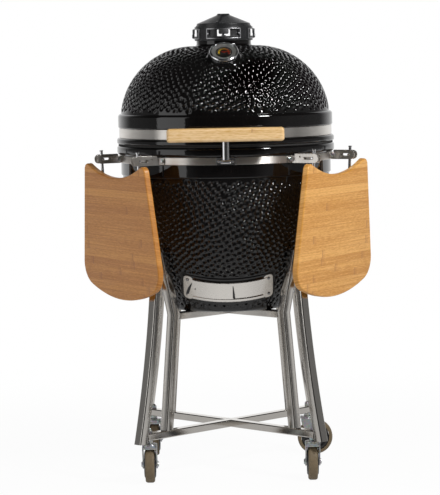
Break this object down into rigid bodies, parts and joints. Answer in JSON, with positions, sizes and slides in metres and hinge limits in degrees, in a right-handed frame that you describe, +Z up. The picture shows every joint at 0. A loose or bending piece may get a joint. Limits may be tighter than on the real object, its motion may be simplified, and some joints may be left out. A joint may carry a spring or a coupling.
{
  "type": "kamado ceramic grill",
  "caption": "Egg-shaped black ceramic charcoal grill with a hinged lid, top vent, draft door, dial thermometer, folding wooden side shelves and a wheeled steel stand.",
  "frame": {"origin": "on the floor, below the axis of the bowl", "axes": "+Z up along the bowl's axis, -Y towards the front with the handle and the draft door, +X to the right"},
  "size_m": [0.7978, 0.706, 1.2624],
  "materials": {
    "glaze": "gloss black glaze over dimples",
    "felt": "pressed felt",
    "band_steel": "brushed",
    "fire_clay": "unglazed",
    "iron": "bare",
    "grate_steel": "bright",
    "sheet_steel": "brushed",
    "tube_steel": "polished",
    "zinc": "zinc plated",
    "hub_plastic": "moulded",
    "tread_rubber": "smooth tread",
    "bamboo": "lacquered strips",
    "bright_trim": "polished",
    "dial": "printed dial",
    "needle_paint": "painted",
    "dial_glass": "clear",
    "cap_iron": "matt black coat"
  },
  "bodies": {
    "base": {"base_shell": "glaze", "base_gasket": "felt", "base_band": "band_steel", "fire_box": "fire_clay", "fire_ring": "fire_clay", "charcoal_grate": "iron", "cooking_grate": "grate_steel", "draft_frame": "sheet_steel", "hinge_base_bracket": "band_steel", "hinge_pin": "grate_steel", "hinge_springs": "grate_steel", "shelf_arm_left_front": "sheet_steel", "shelf_arm_left_rear": "sheet_steel", "shelf_arm_right_front": "sheet_steel", "shelf_arm_right_rear": "sheet_steel", "shelf_arm_bolts": "grate_steel", "latch_plate": "band_steel", "outer_leg_front_left": "tube_steel", "outer_leg_front_right": "tube_steel", "outer_leg_rear_left": "tube_steel", "outer_leg_rear_right": "tube_steel", "inner_leg_front_left": "tube_steel", "inner_leg_front_right": "tube_steel", "inner_leg_rear_left": "tube_steel", "inner_leg_rear_right": "tube_steel", "lower_cross": "tube_steel", "upper_cross": "tube_steel", "caster_stems": "grate_steel"},
    "lid": {"lid_shell": "glaze", "lid_gasket": "felt", "lid_band": "band_steel", "hinge_lid_bracket": "band_steel", "handle_bar": "bamboo", "handle_posts": "band_steel", "thermometer_case": "bright_trim", "thermometer_dial": "dial", "thermometer_glass": "dial_glass", "vent_ring": "cap_iron", "vent_frames": "bright_trim"},
    "vent_cap": {"vent_roof": "cap_iron"},
    "needle": {"thermometer_needle": "needle_paint"},
    "door_left": {"draft_door_left": "sheet_steel"},
    "door_right": {"draft_door_right": "sheet_steel"},
    "latch": {"latch_lever": "bright_trim"},
    "shelf_left": {"shelf_board_left": "bamboo", "shelf_rods_left": "grate_steel"},
    "shelf_right": {"shelf_board_right": "bamboo", "shelf_rods_right": "grate_steel"},
    "fork_front_left": {"caster_fork_front_left": "zinc"},
    "wheel_front_left": {"wheel_core_front_left": "hub_plastic", "wheel_tread_front_left": "tread_rubber"},
    "fork_front_right": {"caster_fork_front_right": "zinc"},
    "wheel_front_right": {"wheel_core_front_right": "hub_plastic", "wheel_tread_front_right": "tread_rubber"},
    "fork_rear_left": {"caster_fork_rear_left": "zinc"},
    "wheel_rear_left": {"wheel_core_rear_left": "hub_plastic", "wheel_tread_rear_left": "tread_rubber"},
    "fork_rear_right": {"caster_fork_rear_right": "zinc"},
    "wheel_rear_right": {"wheel_core_rear_right": "hub_plastic", "wheel_tread_rear_right": "tread_rubber"}
  },
  "joints": [
    {"name": "lid_hinge", "type": "hinge", "parent": "base", "child": "lid", "pos_m": [0, 0.332, 0.896], "axis": [-1, 0, 0], "range_deg": [0, 75]},
    {"name": "vent_turn", "type": "hinge", "parent": "lid", "child": "vent_cap", "pos_m": [0, 0, 1.227], "axis": [0, 0, 1], "range_deg": [0, 45]},
    {"name": "needle_swing", "type": "hinge", "parent": "lid", "child": "needle", "pos_m": [0, -0.19964, 1.15766], "axis": [0, 0.6428, -0.766], "range_deg": [0, 240]},
    {"name": "draft_left_slide", "type": "hinge", "parent": "base", "child": "door_left", "pos_m": [0, -0.00023, 0.61144], "axis": [0, -0.4384, 0.8988], "range_deg": [0, 27]},
    {"name": "draft_right_slide", "type": "hinge", "parent": "base", "child": "door_right", "pos_m": [0, -0.00023, 0.61144], "axis": [0, -0.4384, 0.8988], "range_deg": [-27, 0]},
    {"name": "latch_swing", "type": "hinge", "parent": "base", "child": "latch", "pos_m": [0, -0.3074, 0.8698], "axis": [1, 0, 0], "range_deg": [-3, 12]},
    {"name": "shelf_left_fold", "type": "hinge", "parent": "base", "child": "shelf_left", "pos_m": [-0.28579, -0.165, 0.8728], "axis": [-0.5, 0.866, 0], "range_deg": [0, 93]},
    {"name": "shelf_right_fold", "type": "hinge", "parent": "base", "child": "shelf_right", "pos_m": [0.28579, -0.165, 0.8728], "axis": [-0.5, -0.866, 0], "range_deg": [0, 93]},
    {"name": "swivel_front_left", "type": "hinge", "parent": "base", "child": "fork_front_left", "pos_m": [-0.21991, -0.21991, 0.105], "axis": [0, 0, 1], "continuous": true},
    {"name": "roll_front_left", "type": "hinge", "parent": "fork_front_left", "child": "wheel_front_left", "pos_m": [-0.21991, -0.19791, 0.05], "axis": [1, 0, 0], "continuous": true},
    {"name": "swivel_front_right", "type": "hinge", "parent": "base", "child": "fork_front_right", "pos_m": [0.21991, -0.21991, 0.105], "axis": [0, 0, 1], "continuous": true},
    {"name": "roll_front_right", "type": "hinge", "parent": "fork_front_right", "child": "wheel_front_right", "pos_m": [0.21991, -0.19791, 0.05], "axis": [1, 0, 0], "continuous": true},
    {"name": "swivel_rear_left", "type": "hinge", "parent": "base", "child": "fork_rear_left", "pos_m": [-0.21991, 0.21991, 0.105], "axis": [0, 0, 1], "continuous": true},
    {"name": "roll_rear_left", "type": "hinge", "parent": "fork_rear_left", "child": "wheel_rear_left", "pos_m": [-0.21991, 0.24191, 0.05], "axis": [1, 0, 0], "continuous": true},
    {"name": "swivel_rear_right", "type": "hinge", "parent": "base", "child": "fork_rear_right", "pos_m": [0.21991, 0.21991, 0.105], "axis": [0, 0, 1], "continuous": true},
    {"name": "roll_rear_right", "type": "hinge", "parent": "fork_rear_right", "child": "wheel_rear_right", "pos_m": [0.24191, 0.21991, 0.05], "axis": [0, -1, 0], "continuous": true}
  ]
}
